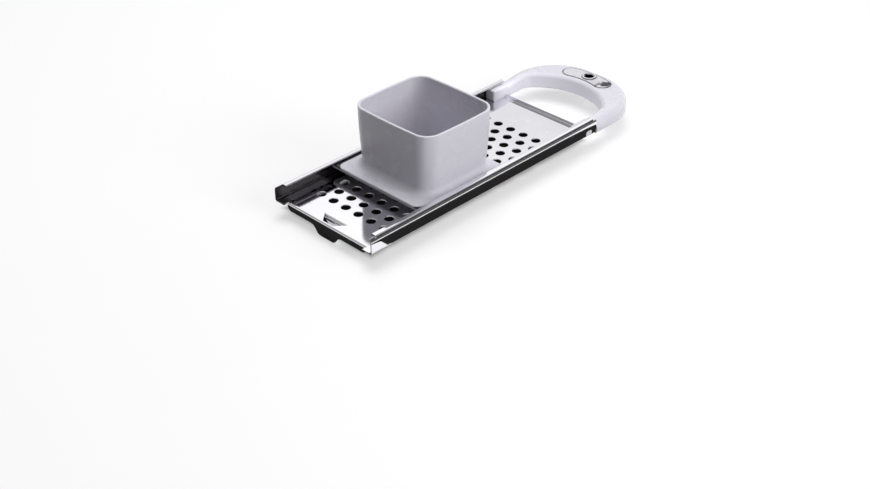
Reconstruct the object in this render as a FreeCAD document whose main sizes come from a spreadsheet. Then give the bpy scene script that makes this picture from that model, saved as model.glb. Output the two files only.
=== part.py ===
import FreeCAD, Part
import math
import os
import re

import Sketcher

# A spaetzle maker: a perforated sheet-metal tray that lies across a pot, a hopper that
# slides along its rails, and a bow handle snapped into the rails' rear ends, with a steel
# inlay and a hanging eyelet.
# Frame: +X towards the handle, +Y to the side, +Z up. The origin is the middle of the
# tray's underside, in the plane that lies on the pot's rim. All sizes are in millimetres.

os.makedirs("parts", exist_ok=True)

doc = FreeCAD.newDocument("spaetzle_maker")

# ---------------------------------------------------------------- driving dimensions

# tray: one bent and punched sheet
SHEET = 0.8  # thickness of the tray's sheet
TRAY_LENGTH = 257  # front corners to rear ends of the side walls
TRAY_WIDTH = 108  # outside of one side wall to the other
RAIL_HEIGHT = 13.3  # underside of the floor to the top of the rails
FLOOR_BEND = 0.8  # inner radius where the floor turns into a wall
RAIL_BEND = 2.7  # inner radius where a wall turns into its lip
LIP_REACH = 6.5  # width of a rail's lip, from the wall's outside inwards
HEM_WIDTH = 2.6  # width of the hem folded under a lip's edge
HEM_EDGE_SHARE = 0.95  # radius of the hem's fold, as a share of the sheet's thickness
LIP_START = 6.2  # front edge of the tray to the front ends of the lips
LIP_END_GAP = 3  # rear ends of the lips to the rear ends of the walls
RELIEF_WIDTH = 1.2  # relief slot between a lip and the curl in front of it
RELIEF_DEPTH = 1.0  # metal left beside a relief slot, from the wall's outside
CURL_REACH = 2.2  # width of a front curl, from the wall's outside inwards

# front: apron bent down, with the tongue that hooks over the pot's rim
APRON_SETBACK = 3.5  # front corners to the apron's outer face
APRON_INSET = 10  # outside of a side wall to the end of the apron
APRON_DEPTH = 5.5  # how far the apron reaches below the underside
APRON_BEND = 1.3  # inner radius of the apron's bend
APRON_CORNER = 4  # radius of the apron's lower corners
TONGUE_ROOT_HALF = 14  # half the tongue's width at the apron
TONGUE_TIP_HALF = 9  # half the tongue's width at its tip
TONGUE_DEPTH = 12.6  # how far the tongue reaches below the underside
TONGUE_ROUND = 7  # radius of the tongue's tip corners
TONGUE_BLEND = 6  # radius where the tongue runs into the apron

# lanced tab behind the tongue: the pot's rim sits between the two
TAB_CREASE = 15.5  # front edge of the tray to the crease of the tab
TAB_CREASE_HALF = 13.8  # half the tab's width at its crease
TAB_TIP_HALF = 5.5  # half the tab's width at its tip
TAB_LENGTH = 9.7  # length of the tab in the flat sheet
TAB_BEND = 2.2  # inner radius of the tab's bend

# rear edge of the floor, turned up between the handle's arms
UPTURN_HEIGHT = 3.6  # underside to the top of the turned-up rear edge
UPTURN_INSET = 5.5  # turned-up edge's outer face to the rear ends of the walls
UPTURN_GAP = 1  # turned-up edge to the arm beside it

# drain holes, in rows that are staggered by half a pitch
DRAIN_DIAMETER = 7.5  # diameter of a drain hole
DRAIN_EDGE = 0.25  # rounded edge of a drain hole, drawn as a chamfer
DRAIN_PITCH = 14  # distance between holes in a row
DRAIN_ROW_PITCH = 12  # distance between rows
DRAIN_WIDE_COUNT = 6  # holes in a wide row
DRAIN_ROW_PAIRS = 8  # pairs of a wide and a narrow row
DRAIN_FIRST = 30.5  # front edge of the tray to the first row

# hopper: one moulding, open at the top and at the bottom
HOPPER_CENTRE = -20.5  # place of the hopper's middle along the tray
HOPPER_RIM_LENGTH = 78  # hopper's length at the rim, along the tray
HOPPER_RIM_WIDTH = 85  # hopper's width at the rim, across the tray
HOPPER_FOOT_LENGTH = 73.5  # hopper's length at the foot of its walls
HOPPER_FOOT_WIDTH = 76  # hopper's width at the foot of its walls
HOPPER_HEIGHT = 61  # foot of the walls to the rim
HOPPER_WALL = 2.2  # thickness of the hopper's walls
HOPPER_CORNER = 14  # corner radius at the rim
HOPPER_FOOT_CORNER = 12  # corner radius at the foot of the walls
HOPPER_BOW = 1.3  # how far each side bows outwards
HOPPER_EDGE = 0.7  # rounding of the rim's edges
FLANGE_FRONT = 15.1  # flange's front edge to the front wall's foot
FLANGE_REAR = 4.3  # rear wall's foot to the flange's rear edge
FLANGE_THICKNESS = 3.6  # thickness of the flange
FLANGE_PLAY = 0.7  # flange's top to the hems of the lips above it
FLANGE_EDGE = 1.0  # rounding of the flange's edges
FLANGE_CORNER = 3  # corner radius of the flange
FOOT_BLEND = 2  # radius where the walls meet the flange's top
SLIDE_GAP = 0.7  # flange to the wall beside it
FLOAT_GAP = 0.15  # foot of the hopper's walls to the floor under it

# handle: one bow-shaped moulding with two arms
ARM_WIDTH = 10.4  # inside of a side wall to the inner face of the arm
HANDLE_PROUD = 0.5  # how far the arms stand out past the tray's walls
FIT_GAP = 0.2  # handle to the metal around it
ARM_INSERT = 20.5  # length of an arm inside the tray
ARM_INSERT_HEIGHT = 10  # height of an arm inside the rail
INSERT_ROUND = 1.5  # rounding of the upper edges inside the rail
ARM_END_ROUND = 1.5  # rounding of the arm's end, on its inner side
HANDLE_TOP = 13  # underside of the tray to the top of the handle
HANDLE_DROP = 1  # how far the handle reaches below the tray's underside
BOW_REACH = 70  # rear ends of the walls to the end of the bow
BOW_CORNER = 46  # outer corner radius of the bow
BOW_WIDTH = 27.5  # end of the bow to the far side of the grip opening
ARM_RISE = 26  # rear ends of the walls to where the arms reach the bow's height
GRIP_SPREAD = 11.2  # radius of the grip opening's far side, less half the opening's width
GRIP_CORNER = 12  # corner radius of the grip opening
TOP_OUTER_ROUND = 7.5  # rounding of the handle's outer top edge
TOP_INNER_ROUND = 3.5  # rounding of the handle's inner top edge
BOTTOM_ROUND = 2  # rounding of the handle's lower edges

# snap lugs on the arms, in oval cut-outs of the walls
LUG_INSET = 9.3  # middle of a lug to the rear ends of the walls
LUG_HEIGHT = 3.1  # underside to the middle of a lug
LUG_LENGTH = 7.6  # length of a wall's cut-out for a lug
LUG_WIDTH = 4.7  # height of a wall's cut-out for a lug

# moulding cores in the handle's underside
ARM_CORE_COUNT = 2  # cores in one arm
BOW_CORE_COUNT = 2  # cores in one half of the bow
CORE_WALL = 2.6  # wall left beside a core
CORE_TOP = 3.6  # material left above a core
CORE_RIB = 2  # rib left between two cores of an arm
ARM_CORE_START = 3  # rear ends of the walls to the first core
ARM_CORE_LENGTH = 9  # length of a core in an arm
BOW_CORE_DEPTH = 13.5  # width of a core in the bow, across the bar
BOW_CORE_FIRST = 12  # angle from the middle to the first core of the bow
BOW_CORE_SWEEP = 14  # angle that a core of the bow takes
BOW_CORE_STEP = 16.5  # angle from one core of the bow to the next

# inlay plate and hanging eyelet
INLAY_CENTRE = 70.5  # end of the bow to the centre of the inlay's arcs
INLAY_INNER = 47.5  # radius of the inlay's inner edge
INLAY_OUTER = 64  # radius of the inlay's outer edge
INLAY_ANGLE = 17.5  # angle from the inlay's middle to the centre of each round end
INLAY_THICKNESS = 1.2  # thickness of the inlay plate
INLAY_BEVEL = 0.5  # bevel of the inlay's upper edge
INLAY_PROUD = 0.3  # how far the inlay stands above the handle
INLAY_GAP = 0.35  # groove between the inlay and the handle
EYELET_PLACE = 13.9  # end of the bow to the eyelet's axis
EYELET_BORE = 8  # diameter of the hole through the eyelet
EYELET_WALL = 0.6  # wall of the eyelet's tube
EYELET_RIM = 14  # diameter of the eyelet's rolled rim
EYELET_RIM_HEIGHT = 0.7  # height of the rolled rim above the inlay
EYELET_FIT = 0.05  # eyelet's tube to the hole that it is pressed into

sheet = doc.addObject("Spreadsheet::Sheet", "dims")
filled = []


def fill_sheet(**sizes):
    """Put driving dimensions in the sheet, each in a cell with its name as the alias."""
    for alias, number in sizes.items():
        filled.append(alias)
        row = len(filled)
        sheet.set("A%d" % row, alias.replace("_", " "))
        sheet.set("B%d" % row, str(number))
        sheet.setAlias("B%d" % row, alias)


fill_sheet(sheet=SHEET, tray_length=TRAY_LENGTH, tray_width=TRAY_WIDTH, rail_height=RAIL_HEIGHT,
           floor_bend=FLOOR_BEND, rail_bend=RAIL_BEND, lip_reach=LIP_REACH, hem_width=HEM_WIDTH,
           hem_edge_share=HEM_EDGE_SHARE, lip_start=LIP_START, lip_end_gap=LIP_END_GAP,
           relief_width=RELIEF_WIDTH, relief_depth=RELIEF_DEPTH, curl_reach=CURL_REACH)
fill_sheet(apron_setback=APRON_SETBACK, apron_inset=APRON_INSET, apron_depth=APRON_DEPTH,
           apron_bend=APRON_BEND, apron_corner=APRON_CORNER, tongue_root_half=TONGUE_ROOT_HALF,
           tongue_tip_half=TONGUE_TIP_HALF, tongue_depth=TONGUE_DEPTH, tongue_round=TONGUE_ROUND,
           tongue_blend=TONGUE_BLEND)
fill_sheet(tab_crease=TAB_CREASE, tab_crease_half=TAB_CREASE_HALF, tab_tip_half=TAB_TIP_HALF,
           tab_length=TAB_LENGTH, tab_bend=TAB_BEND)
fill_sheet(upturn_height=UPTURN_HEIGHT, upturn_inset=UPTURN_INSET, upturn_gap=UPTURN_GAP)
fill_sheet(drain_diameter=DRAIN_DIAMETER, drain_edge=DRAIN_EDGE, drain_pitch=DRAIN_PITCH,
           drain_row_pitch=DRAIN_ROW_PITCH, drain_wide_count=DRAIN_WIDE_COUNT,
           drain_row_pairs=DRAIN_ROW_PAIRS, drain_first=DRAIN_FIRST)
fill_sheet(hopper_centre=HOPPER_CENTRE, hopper_rim_length=HOPPER_RIM_LENGTH,
           hopper_rim_width=HOPPER_RIM_WIDTH, hopper_foot_length=HOPPER_FOOT_LENGTH,
           hopper_foot_width=HOPPER_FOOT_WIDTH, hopper_height=HOPPER_HEIGHT,
           hopper_wall=HOPPER_WALL, hopper_corner=HOPPER_CORNER,
           hopper_foot_corner=HOPPER_FOOT_CORNER, hopper_bow=HOPPER_BOW, hopper_edge=HOPPER_EDGE,
           flange_front=FLANGE_FRONT, flange_rear=FLANGE_REAR, flange_thickness=FLANGE_THICKNESS,
           flange_play=FLANGE_PLAY, flange_edge=FLANGE_EDGE, flange_corner=FLANGE_CORNER,
           foot_blend=FOOT_BLEND, slide_gap=SLIDE_GAP, float_gap=FLOAT_GAP)
fill_sheet(arm_width=ARM_WIDTH, handle_proud=HANDLE_PROUD, fit_gap=FIT_GAP, arm_insert=ARM_INSERT,
           arm_insert_height=ARM_INSERT_HEIGHT, insert_round=INSERT_ROUND,
           arm_end_round=ARM_END_ROUND, handle_top=HANDLE_TOP, handle_drop=HANDLE_DROP,
           bow_reach=BOW_REACH, bow_corner=BOW_CORNER, bow_width=BOW_WIDTH, arm_rise=ARM_RISE,
           grip_spread=GRIP_SPREAD, grip_corner=GRIP_CORNER, top_outer_round=TOP_OUTER_ROUND,
           top_inner_round=TOP_INNER_ROUND, bottom_round=BOTTOM_ROUND)
fill_sheet(lug_inset=LUG_INSET, lug_height=LUG_HEIGHT, lug_length=LUG_LENGTH, lug_width=LUG_WIDTH)
fill_sheet(arm_core_count=ARM_CORE_COUNT, bow_core_count=BOW_CORE_COUNT, core_wall=CORE_WALL,
           core_top=CORE_TOP, core_rib=CORE_RIB, arm_core_start=ARM_CORE_START,
           arm_core_length=ARM_CORE_LENGTH, bow_core_depth=BOW_CORE_DEPTH,
           bow_core_first=BOW_CORE_FIRST, bow_core_sweep=BOW_CORE_SWEEP,
           bow_core_step=BOW_CORE_STEP)
fill_sheet(inlay_centre=INLAY_CENTRE, inlay_inner=INLAY_INNER, inlay_outer=INLAY_OUTER,
           inlay_angle=INLAY_ANGLE, inlay_thickness=INLAY_THICKNESS, inlay_bevel=INLAY_BEVEL,
           inlay_proud=INLAY_PROUD, inlay_gap=INLAY_GAP, eyelet_place=EYELET_PLACE,
           eyelet_bore=EYELET_BORE, eyelet_wall=EYELET_WALL, eyelet_rim=EYELET_RIM,
           eyelet_rim_height=EYELET_RIM_HEIGHT, eyelet_fit=EYELET_FIT)
doc.recompute()

FORMULA_WORDS = ("sqrt", "sin", "cos", "deg")


def formula(text):
    """Put the sheet's name before each alias that a formula names."""
    def prefix(match):
        word = match.group(0)
        return word if word in FORMULA_WORDS else "dims." + word
    return re.sub(r"[a-z_]{3,}", prefix, text)


def value(text):
    """Work out a formula's number from the sheet."""
    return float(sheet.evalExpression(text))


# ---------------------------------------------------------------- derived places

# These formulas are used more than once.
FRONT = "(0 - tray_length / 2)"
REAR = "(tray_length / 2)"
WALL_INNER = "(tray_width / 2 - sheet)"
LIP_INNER = "(tray_width / 2 - lip_reach)"
APRON_FACE = "(" + FRONT + " + apron_setback)"
TAB_CREASE_X = "(" + FRONT + " + tab_crease)"
UPTURN_FACE = "(" + REAR + " - upturn_inset)"
APRON_HALF = "(tray_width / 2 - apron_inset)"
ARM_INNER = "(" + WALL_INNER + " - arm_width)"
UPTURN_HALF = "(" + ARM_INNER + " - upturn_gap)"
ARM_OUTER = "(tray_width / 2 + handle_proud)"
ARM_CHANNEL = "(" + WALL_INNER + " - fit_gap)"
ARM_TOP = "(sheet + arm_insert_height)"
BOW_START = "(" + REAR + " + fit_gap)"
BOW_END = "(" + REAR + " + bow_reach)"
GRIP_RADIUS = "(" + ARM_INNER + " + grip_spread)"
GRIP_CENTRE = "(" + BOW_END + " - bow_width - " + GRIP_RADIUS + ")"
TAB_BEND_LENGTH = "((tab_bend + sheet / 2) * pi / 2)"
INLAY_CENTRE_X = "(" + BOW_END + " - inlay_centre)"
EYELET_X = "(" + BOW_END + " - eyelet_place)"
INLAY_TOP = "(handle_top + inlay_proud)"
INLAY_BOTTOM = "(handle_top + inlay_proud - inlay_thickness)"
EYELET_OUTER = "(eyelet_bore / 2 + eyelet_wall)"
HOPPER_FOOT = "(sheet + float_gap)"
FLANGE_TOP = "(rail_height - 2 * sheet - flange_play)"
FLANGE_BOTTOM = "(" + FLANGE_TOP + " - flange_thickness)"
LINEAR_TOLERANCE = 1e-4


# ---------------------------------------------------------------- helpers

def new_body(name):
    """Make an empty body whose label names its node."""
    body = doc.addObject("PartDesign::Body", name)
    body.Label = name
    body.Placement = FreeCAD.Placement()
    return body


def new_sketch(body, name, plane, along="0"):
    """Attach a sketch to one of the body's own origin planes, moved along its normal."""
    sketch = body.newObject("Sketcher::SketchObject", name)
    support = [item for item in body.Origin.OriginFeatures if item.Role == plane]
    sketch.AttachmentSupport = [(support[0], "")]
    sketch.MapMode = "FlatFace"
    sketch.setExpression(".AttachmentOffset.Base.z", formula(along))
    return sketch


def dimension(sketch, kind, references, text):
    """Add one dimension to a sketch and bind it to its formula."""
    index = sketch.addConstraint(Sketcher.Constraint(kind, *references, value(text)))
    sketch.setExpression("Constraints[%d]" % index, formula(text))


def arc_between(start, end, radius):
    """The shorter arc from start to end, which curves left for a positive radius."""
    middle = (start + end) * 0.5
    chord = end - start
    across = FreeCAD.Vector(-chord.y, chord.x, 0).normalize()
    height = math.sqrt(max(radius * radius - chord.Length ** 2 / 4, 0))
    bulge = abs(radius) - height
    side = -1 if radius > 0 else 1
    return Part.Arc(start, middle + across * bulge * side, end)


def outline(sketch, corners, arcs=None):
    """Draw a closed outline. Each corner is two formulas, and arcs gives the radius of
    each bent edge by its number: positive where the outline turns left along it."""
    arcs = arcs or {}
    points = [FreeCAD.Vector(value(across), value(up), 0) for across, up in corners]
    count = len(points)
    reversed_arcs = set()
    for number, start in enumerate(points):
        end = points[(number + 1) % count]
        if number in arcs:
            turn, radius = arcs[number]
            arc = arc_between(start, end, turn * value(radius))
            circle = arc.toShape().Curve
            first = circle.parameter(start)
            last = circle.parameter(end)
            if circle.Axis.z < 0:
                circle = Part.Circle(circle.Center, FreeCAD.Vector(0, 0, 1), circle.Radius)
                first = circle.parameter(start)
                last = circle.parameter(end)
            if turn > 0:
                sketch.addGeometry(Part.ArcOfCircle(circle, first, last), False)
            else:
                sketch.addGeometry(Part.ArcOfCircle(circle, last, first), False)
                reversed_arcs.add(number)
        else:
            sketch.addGeometry(Part.LineSegment(start, end), False)
    for number, (across, up) in enumerate(corners):
        begin = 2 if number in reversed_arcs else 1
        before = (number - 1) % count
        finish = 1 if before in reversed_arcs else 2
        sketch.addConstraint(Sketcher.Constraint("Coincident", before, finish, number, begin))
        dimension(sketch, "DistanceX", (-1, 1, number, begin), across)
        dimension(sketch, "DistanceY", (-1, 1, number, begin), up)
    for number, (turn, radius) in arcs.items():
        dimension(sketch, "Radius", (number,), radius)


def box_outline(sketch, low_x, high_x, low_y, high_y):
    """Draw a closed rectangle between four formulas."""
    outline(sketch, [(low_x, low_y), (high_x, low_y), (high_x, high_y), (low_x, high_y)])


def extrude(body, kind, name, sketch, length, backwards):
    """Pad or pocket a sketch by a length."""
    feature = body.newObject(kind, name)
    feature.Profile = sketch
    feature.setExpression("Length", formula(length))
    feature.Reversed = backwards
    doc.recompute()


def pad(body, name, sketch, length, backwards=False):
    """Add material, and make sure that some was added."""
    before = body.Shape.Volume if body.Shape and not body.Shape.isNull() else 0
    extrude(body, "PartDesign::Pad", name, sketch, length, backwards)
    assert body.Shape.Volume > before, name + " adds nothing"


def pocket(body, name, sketch, length, backwards=False):
    """Cut material away, and make sure that some was cut."""
    before = body.Shape.Volume
    extrude(body, "PartDesign::Pocket", name, sketch, length, backwards)
    assert body.Shape.Volume < before, name + " cuts nothing"


def edges_where(body, test):
    """Names of the edges that pass a test of their bounds and their middle point."""
    names = []
    for number, edge in enumerate(body.Tip.Shape.Edges, start=1):
        box = edge.BoundBox
        middle = edge.valueAt((edge.FirstParameter + edge.LastParameter) / 2)
        if test(box, middle):
            names.append("Edge%d" % number)
    return names


def round_edges(body, name, radius, test, kind="PartDesign::Fillet", field="Radius"):
    """Fillet the edges that pass the test."""
    names = edges_where(body, test)
    assert names, name + " finds no edge"
    base = body.Tip
    feature = body.newObject(kind, name)
    feature.Base = (base, names)
    feature.setExpression(field, formula(radius))
    doc.recompute()


def near(first, second):
    return abs(first - second) < LINEAR_TOLERANCE


def runs_along_x(box):
    return box.XLength > LINEAR_TOLERANCE and near(box.YLength, 0) and near(box.ZLength, 0)


def runs_along_y(box):
    return box.YLength > LINEAR_TOLERANCE and near(box.XLength, 0) and near(box.ZLength, 0)


def runs_along_z(box):
    return box.ZLength > LINEAR_TOLERANCE and near(box.XLength, 0) and near(box.YLength, 0)


# ---------------------------------------------------------------- perforated tray

def bend(body, name, radius, places):
    """Round the edges along X that lie at the given distances from the middle plane."""
    spots = [(value(across), value(up)) for across, up in places]

    def at_spot(box, middle):
        hits = [near(abs(middle.y), across) and near(middle.z, up) for across, up in spots]
        return runs_along_x(box) and any(hits)
    round_edges(body, name, radius, at_spot)


def make_channel(body):
    """Floor, walls and inward lips with their hems, as one profile along the tray."""
    half = "(tray_width / 2)"
    under_lip = "(rail_height - sheet)"
    under_hem = "(rail_height - 2 * sheet)"
    hem_outer = "(" + LIP_INNER + " + hem_width)"
    right = [(half, "0"), (half, "rail_height"), (LIP_INNER, "rail_height")]
    right += [(LIP_INNER, under_hem), (hem_outer, under_hem), (hem_outer, under_lip)]
    right += [(WALL_INNER, under_lip), (WALL_INNER, "sheet")]
    left = [("0 - " + across, up) for across, up in reversed(right)]
    section = new_sketch(body, "channel_section", "YZ_Plane", FRONT)
    outline(section, right + left)
    pad(body, "channel", section, "tray_length")
    bend(body, "floor_bend_inner", "floor_bend", [(WALL_INNER, "sheet")])
    bend(body, "floor_bend_outer", "floor_bend + sheet", [(half, "0")])
    bend(body, "rail_bend_inner", "rail_bend", [(WALL_INNER, under_lip)])
    bend(body, "rail_bend_outer", "rail_bend + sheet", [(half, "rail_height")])
    hem_edge = "sheet * hem_edge_share"
    bend(body, "hem_round", hem_edge, [(LIP_INNER, "rail_height"), (LIP_INNER, under_hem)])


def trim_rails(body):
    """Cut the lips back at both ends, and free the front curls with relief slots."""
    lip_front = "(" + FRONT + " + lip_start)"
    relief_front = "(" + FRONT + " + lip_start - relief_width)"
    curl_inner = "(tray_width / 2 - curl_reach)"
    relief_half = "(tray_width / 2 - relief_depth)"
    right = [(FRONT, curl_inner), (relief_front, curl_inner)]
    right += [(relief_front, relief_half), (lip_front, relief_half)]
    left = [(along, "0 - " + across) for along, across in reversed(right)]
    trim = new_sketch(body, "front_trim", "XY_Plane", "rail_height / 2")
    outline(trim, left + right)
    pocket(body, "front_trim_cut", trim, "rail_height", backwards=True)
    lip_rear = "(" + REAR + " - lip_end_gap)"
    rear = new_sketch(body, "rear_trim", "XY_Plane", "rail_height / 2")
    box_outline(rear, lip_rear, REAR, "0 - " + relief_half, relief_half)
    pocket(body, "rear_trim_cut", rear, "rail_height", backwards=True)


def bent_flange(body, name, crease, radius, length, half_width):
    """Fold a strip of the floor down towards the front: an arc, then a straight stretch."""
    outer = "(" + radius + " + sheet)"
    face = "(" + crease + " - " + outer + ")"
    back = "(" + crease + " - " + radius + ")"
    arc_end = "(sheet - " + outer + ")"
    tip = "(" + arc_end + " - " + length + ")"
    profile = new_sketch(body, name + "_profile", "XZ_Plane", "0 - " + half_width)
    corners = [(crease, "0"), (crease, "sheet"), (face, arc_end), (face, tip)]
    corners += [(back, tip), (back, arc_end)]
    outline(profile, corners, {1: (1, outer), 5: (-1, radius)})
    pad(body, name, profile, "2 * " + half_width)
    return face, arc_end, tip


def make_apron(body):
    """Bend the front strip down and let the tongue hang from it."""
    crease = "(" + APRON_FACE + " + apron_bend + sheet)"
    notch = new_sketch(body, "front_notch", "XY_Plane", "0")
    box_outline(notch, FRONT, crease, "0 - " + APRON_HALF, APRON_HALF)
    pocket(body, "front_notch_cut", notch, "sheet", backwards=True)
    reach = "(tongue_depth - apron_bend)"
    face, arc_end, tip = bent_flange(body, "apron", crease, "apron_bend", reach, APRON_HALF)
    for side, sign in (("near", "-1"), ("far", "1")):
        trim = new_sketch(body, "tongue_side_" + side, "YZ_Plane", APRON_FACE)
        corners = [("tongue_root_half", "0 - apron_depth"), ("tongue_tip_half", tip)]
        past_end = "(" + APRON_HALF + " + sheet)"
        corners += [(past_end, tip), (past_end, "0 - apron_depth")]
        outline(trim, [(sign + " * " + across, up) for across, up in corners])
        pocket(body, "tongue_side_cut_" + side, trim, "sheet", backwards=True)

    def at(across, up):
        return lambda box, middle: (near(abs(middle.y), value(across))
                                    and near(middle.z, value(up)) and runs_along_x(box))
    round_edges(body, "apron_corners", "apron_corner", at(APRON_HALF, "0 - apron_depth"))
    round_edges(body, "tongue_blends", "tongue_blend", at("tongue_root_half", "0 - apron_depth"))
    round_edges(body, "tongue_tip", "tongue_round", at("tongue_tip_half", tip))


def make_tab(body):
    """Lance the slot and fold its metal down as a tab, parallel to the tongue. Below the
    floor, the tab's bend stays inside the slot's outline."""
    slot_front = "(" + TAB_CREASE_X + " - tab_length)"
    slot = new_sketch(body, "lanced_slot", "XY_Plane", "0")
    corners = [(TAB_CREASE_X, "0 - tab_crease_half"), (TAB_CREASE_X, "tab_crease_half")]
    corners += [(slot_front, "tab_tip_half"), (slot_front, "0 - tab_tip_half")]
    outline(slot, corners)
    pocket(body, "lanced_slot_cut", slot, "sheet", backwards=True)
    straight = "(tab_length - " + TAB_BEND_LENGTH + ")"
    face, arc_end, tip = bent_flange(body, "tab", TAB_CREASE_X, "tab_bend", straight,
                                     "tab_crease_half")
    slant = "((tab_crease_half - tab_tip_half) / tab_length)"
    bend_half = "(tab_crease_half - " + slant + " * " + TAB_BEND_LENGTH + ")"
    for side, sign in (("near", "-1"), ("far", "1")):
        trim = new_sketch(body, "tab_trim_" + side, "YZ_Plane", face)
        corners = [("tab_crease_half", "sheet / 2"), (bend_half, arc_end), ("tab_tip_half", tip)]
        corners += [("tab_crease_half", tip)]
        outline(trim, [(sign + " * " + across, up) for across, up in corners])
        pocket(body, "tab_trim_cut_" + side, trim, "tab_bend + sheet", backwards=True)
        bevel = new_sketch(body, "tab_bevel_" + side, "XY_Plane", "0")
        corners = [(TAB_CREASE_X, "tab_crease_half"), (slot_front, "tab_tip_half")]
        corners += [(slot_front, "tab_crease_half")]
        outline(bevel, [(along, sign + " * " + across) for along, across in corners])
        pocket(body, "tab_bevel_cut_" + side, bevel, "tab_bend + sheet")


def make_rear_edge(body):
    """Turn the floor's rear edge up between the handle's arms."""
    outer = "(floor_bend + sheet)"
    crease = "(" + UPTURN_FACE + " - " + outer + ")"
    inner_face = "(" + UPTURN_FACE + " - sheet)"
    notch = new_sketch(body, "rear_notch", "XY_Plane", "0")
    box_outline(notch, crease, REAR, "0 - " + UPTURN_HALF, UPTURN_HALF)
    pocket(body, "rear_notch_cut", notch, "sheet", backwards=True)
    profile = new_sketch(body, "upturn_profile", "XZ_Plane", "0 - " + UPTURN_HALF)
    corners = [(crease, "sheet"), (crease, "0"), (UPTURN_FACE, outer)]
    corners += [(UPTURN_FACE, "upturn_height"), (inner_face, "upturn_height")]
    corners += [(inner_face, outer)]
    outline(profile, corners, {1: (1, outer), 5: (-1, "floor_bend")})
    pad(body, "upturn", profile, "2 * " + UPTURN_HALF)


def slot_outline(sketch, centre_x, centre_y, length, width):
    """Draw an oval slot: two straight sides and two half-round ends."""
    half = "(" + width + ") / 2"
    reach = "((" + length + ") / 2 - " + half + ")"
    left = centre_x + " - " + reach
    right = centre_x + " + " + reach
    low = centre_y + " - " + half
    high = centre_y + " + " + half
    far_left = centre_x + " - (" + length + ") / 2"
    far_right = centre_x + " + (" + length + ") / 2"
    corners = [(left, low), (right, low), (far_right, centre_y), (right, high), (left, high)]
    corners += [(far_left, centre_y)]
    arcs = {1: (1, half), 2: (1, half), 4: (1, half), 5: (1, half)}
    outline(sketch, corners, arcs)


def make_lug_cuts(body):
    """Oval cut-outs in both walls, for the handle's snap lugs."""
    for side, sign in (("near", "-1"), ("far", "1")):
        cut = new_sketch(body, "lug_cut_" + side, "XZ_Plane", "0 - %s * tray_width / 2" % sign)
        slot_outline(cut, REAR + " - lug_inset", "lug_height", "lug_length", "lug_width")
        pocket(body, "lug_cut_through_" + side, cut, "2 * sheet", backwards=sign == "1")


def make_drain_holes(body):
    """Staggered rows of drain holes, each with a broken upper edge."""
    radius = "(drain_diameter / 2)"
    wide = "drain_wide_count"
    narrow = "(drain_wide_count - 1)"
    for name, count, shift in (("wide", wide, "0"), ("narrow", narrow, "drain_row_pitch")):
        first_y = "((" + count + " - 1) * drain_pitch / 2)"
        sketch = new_sketch(body, name + "_drain_profile", "XZ_Plane", first_y)
        sketch.setExpression(".AttachmentOffset.Base.x",
                             formula(FRONT + " + drain_first + " + shift))
        corners = [("0", "0 - sheet"), (radius, "0 - sheet"), (radius, "sheet - drain_edge")]
        corners += [(radius + " + drain_edge", "sheet"), (radius + " + drain_edge", "2 * sheet")]
        corners += [("0", "2 * sheet")]
        outline(sketch, corners)
        groove = body.newObject("PartDesign::Groove", name + "_drain")
        groove.Profile = sketch
        groove.ReferenceAxis = (sketch, ["V_Axis"])
        groove.Angle = 360
        doc.recompute()
        across = doc.addObject("PartDesign::LinearPattern", name + "_drain_row")
        y_axis = [item for item in body.Origin.OriginFeatures if item.Role == "Y_Axis"]
        x_axis = [item for item in body.Origin.OriginFeatures if item.Role == "X_Axis"]
        across.Direction = (y_axis[0], [""])
        across.setExpression("Length", formula("(" + count + " - 1) * drain_pitch"))
        across.setExpression("Occurrences", formula(count))
        along = doc.addObject("PartDesign::LinearPattern", name + "_drain_rows")
        along.Direction = (x_axis[0], [""])
        along.setExpression("Length", formula("(drain_row_pairs - 1) * 2 * drain_row_pitch"))
        along.setExpression("Occurrences", formula("drain_row_pairs"))
        pattern = body.newObject("PartDesign::MultiTransform", name + "_drains")
        pattern.Originals = [groove]
        pattern.Transformations = [across, along]
        body.Tip = pattern
        doc.recompute()


def make_tray():
    body = new_body("perforated_tray")
    make_channel(body)
    trim_rails(body)
    make_apron(body)
    make_tab(body)
    make_rear_edge(body)
    make_lug_cuts(body)
    make_drain_holes(body)
    return body


# ---------------------------------------------------------------- hopper

def corner_centre(half_x, half_y, radius_x, radius_y, corner):
    """Centre of the corner arc that touches both bowed sides from the inside."""
    first = FreeCAD.Vector(half_x - radius_x, 0, 0)
    second = FreeCAD.Vector(0, half_y - radius_y, 0)
    reach_first = radius_x - corner
    reach_second = radius_y - corner
    span = second - first
    along = (reach_first ** 2 - reach_second ** 2 + span.Length ** 2) / (2 * span.Length)
    aside = math.sqrt(reach_first ** 2 - along ** 2)
    direction = FreeCAD.Vector(span).normalize()
    normal = FreeCAD.Vector(direction.y, -direction.x, 0)
    spot = first + direction * along + normal * aside
    if spot.x < 0 or spot.y < 0:
        spot = first + direction * along - normal * aside
    return spot, first, second


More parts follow.
